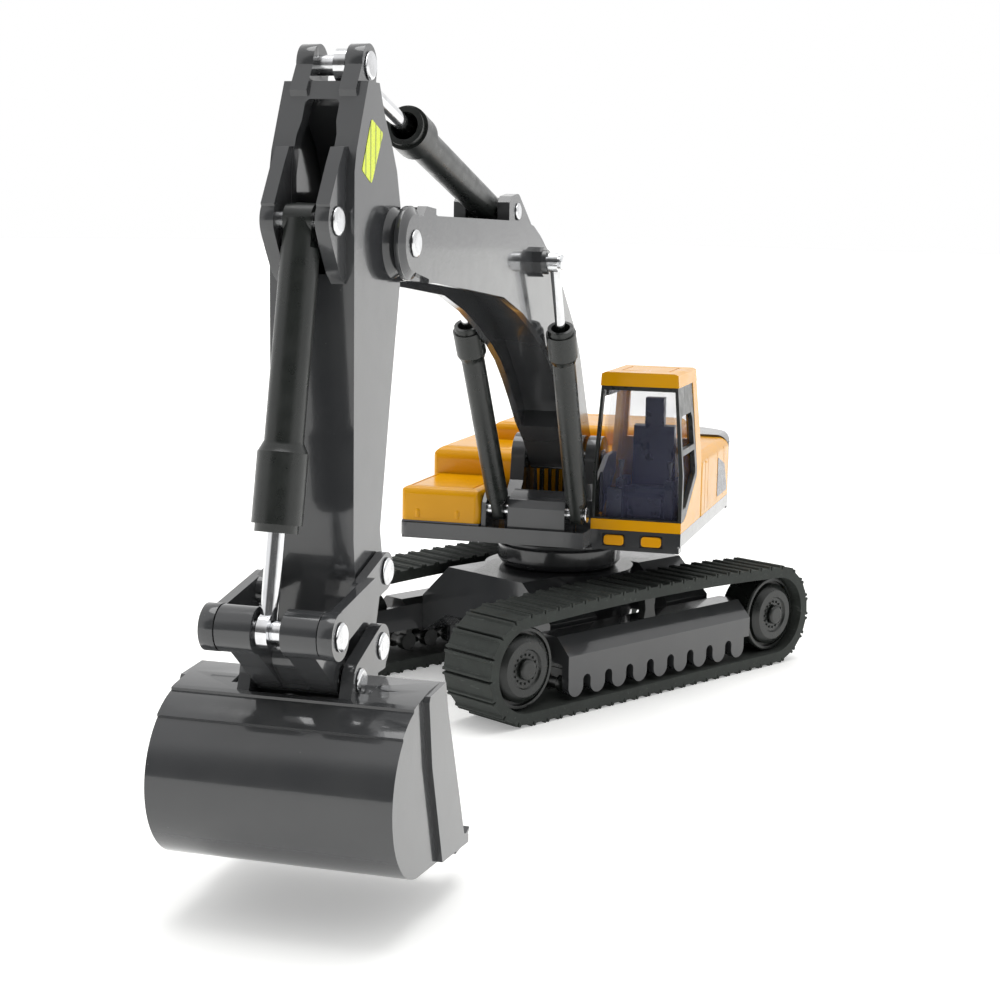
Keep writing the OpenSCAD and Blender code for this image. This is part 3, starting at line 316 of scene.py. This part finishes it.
# Radius of softened edges in millimetres, and the nodes whose edges differ from the usual.
USUAL_EDGE = 0.14
EDGES = {"belt_left": 0.05, "belt_right": 0.05, "cab_glazing": 0.04, "headlamps": 0.08}
# Slots of the parts that stay as the CAD has them.
ROUND_PARTS = {"chrome_rod"}
# Points this close, in millimetres, are one, and faces this flat, in degrees, are one.
SAME_POINT = 0.0005
SAME_PLANE = 0.4
# Corners sharper than this, in degrees, are rounded.
SHARP = 28


def soften(piece, radius):
    """Rounds a casting's sharp edges, as paint and moulding do."""
    piece.data.shade_smooth()
    weld = piece.modifiers.new("weld", "WELD")
    weld.merge_threshold = SAME_POINT * MM
    flat = piece.modifiers.new("flat faces", "DECIMATE")
    flat.decimate_type = "DISSOLVE"
    flat.angle_limit = math.radians(SAME_PLANE)
    edge = piece.modifiers.new("soft edges", "BEVEL")
    edge.width = radius * MM
    edge.segments = 2
    edge.limit_method = "ANGLE"
    edge.angle_limit = math.radians(SHARP)
    edge.use_clamp_overlap = True
    shade = piece.modifiers.new("even shading", "WEIGHTED_NORMAL")
    shade.keep_sharp = True
    shade.weight = 80


# ---------------------------------------------------------------- stage

# Side of the floor sheet in metres, and its faint glow that keeps it white.
FLOOR_SIDE = 8.0
FLOOR_GLOW = 0.28
# Brightness and spread, in degrees, of the light tent's roof, and its tilt in degrees.
ROOF_POWER = 1.4
ROOF_SPREAD = 44
ROOF_TILT = (4, -6)
# The room's light towards the camera, and the directions between which it falls off to that.
DIM_SIDE = 0.12
DIM_FROM = 0.55
DIM_TO = 0.8


def floor():
    """A plain pale sheet under the toy."""
    bpy.ops.mesh.primitive_grid_add(x_subdivisions=2, y_subdivisions=2, size=FLOOR_SIDE)
    sheet = bpy.context.object
    sheet.name = "floor"
    f = Finish("floor_paper")
    f.set(
        Base_Color=f.blend(f.noise(40.0, 2.0), rgb(244, 244, 242), rgb(248, 248, 246)),
        Roughness=0.62,
        Specular_IOR_Level=0.25,
        Emission_Color=(1.0, 1.0, 1.0, 1.0),
        Emission_Strength=FLOOR_GLOW,
    )
    sheet.data.materials.append(f.material)


# The camera's place and aim in millimetres, its focal length, and its shift in frame widths.
CAMERA_AT = Vector((179.66, 173.26, 62.09)) * MM
CAMERA_AIM = Vector((21.39, 10.24, 27.29)) * MM
CAMERA_ROLL = math.radians(-0.99)
LENS = 64.86
SHIFT = (-0.0016, -0.0011)


def camera():
    """The camera, low and close in front of the bucket, a little to the machine's left."""
    made = bpy.data.cameras.new("camera")
    made.lens = LENS
    made.sensor_width = 36.0
    made.clip_start = 0.01
    made.shift_x, made.shift_y = SHIFT
    eye = bpy.data.objects.new("camera", made)
    bpy.context.scene.collection.objects.link(eye)
    look = (CAMERA_AIM - CAMERA_AT).normalized()
    level = look.cross(Vector((0, 0, 1))).normalized()
    up = level.cross(look)
    right = level * math.cos(CAMERA_ROLL) - up * math.sin(CAMERA_ROLL)
    top = level * math.sin(CAMERA_ROLL) + up * math.cos(CAMERA_ROLL)
    turn = Matrix((right, top, -look)).transposed()
    eye.matrix_world = Matrix.Translation(CAMERA_AT) @ turn.to_4x4()
    bpy.context.scene.camera = eye


def overhead_light(power, softness):
    """Soft light from straight above, as from a light tent's roof."""
    made = bpy.data.lights.new("tent_roof", "SUN")
    made.energy = power
    made.angle = math.radians(softness)
    roof = bpy.data.objects.new("tent_roof", made)
    bpy.context.scene.collection.objects.link(roof)
    roof.rotation_euler = (math.radians(ROOF_TILT[0]), math.radians(ROOF_TILT[1]), 0)


def studio():
    """A white room that is darker on the side the picture is taken from."""
    world = bpy.data.worlds.new("studio")
    world.use_nodes = True
    bpy.context.scene.world = world
    tree = world.node_tree
    tree.nodes.clear()

    def node(kind, **settings):
        made = tree.nodes.new(kind)
        for name, value in settings.items():
            setattr(made, name, value)
        return made

    towards_camera = (CAMERA_AT - CAMERA_AIM).normalized()
    place = node("ShaderNodeTexCoord").outputs["Generated"]
    side = node("ShaderNodeVectorMath", operation="DOT_PRODUCT")
    tree.links.new(place, side.inputs[0])
    side.inputs[1].default_value = towards_camera
    shade = node("ShaderNodeMapRange", interpolation_type="SMOOTHSTEP")
    tree.links.new(side.outputs["Value"], shade.inputs["Value"])
    shade.inputs["From Min"].default_value = DIM_FROM
    shade.inputs["From Max"].default_value = DIM_TO
    shade.inputs["To Min"].default_value = 1.0
    shade.inputs["To Max"].default_value = DIM_SIDE
    room = node("ShaderNodeBackground")
    tree.links.new(shade.outputs["Result"], room.inputs["Strength"])
    white = node("ShaderNodeBackground")
    white.inputs["Color"].default_value = (1, 1, 1, 1)
    path = node("ShaderNodeLightPath")
    either = node("ShaderNodeMixShader")
    tree.links.new(path.outputs["Is Camera Ray"], either.inputs["Fac"])
    tree.links.new(room.outputs["Background"], either.inputs[1])
    tree.links.new(white.outputs["Background"], either.inputs[2])
    room.inputs["Color"].default_value = (1, 1, 1, 1)
    out = node("ShaderNodeOutputWorld")
    tree.links.new(either.outputs["Shader"], out.inputs["Surface"])


floor()
camera()
studio()
overhead_light(ROOF_POWER, ROOF_SPREAD)
bpy.context.scene.view_settings.view_transform = "Standard"

for name, piece in NODES.items():
    if SLOT_OF[name] not in ROUND_PARTS:
        soften(piece, EDGES.get(name, USUAL_EDGE))
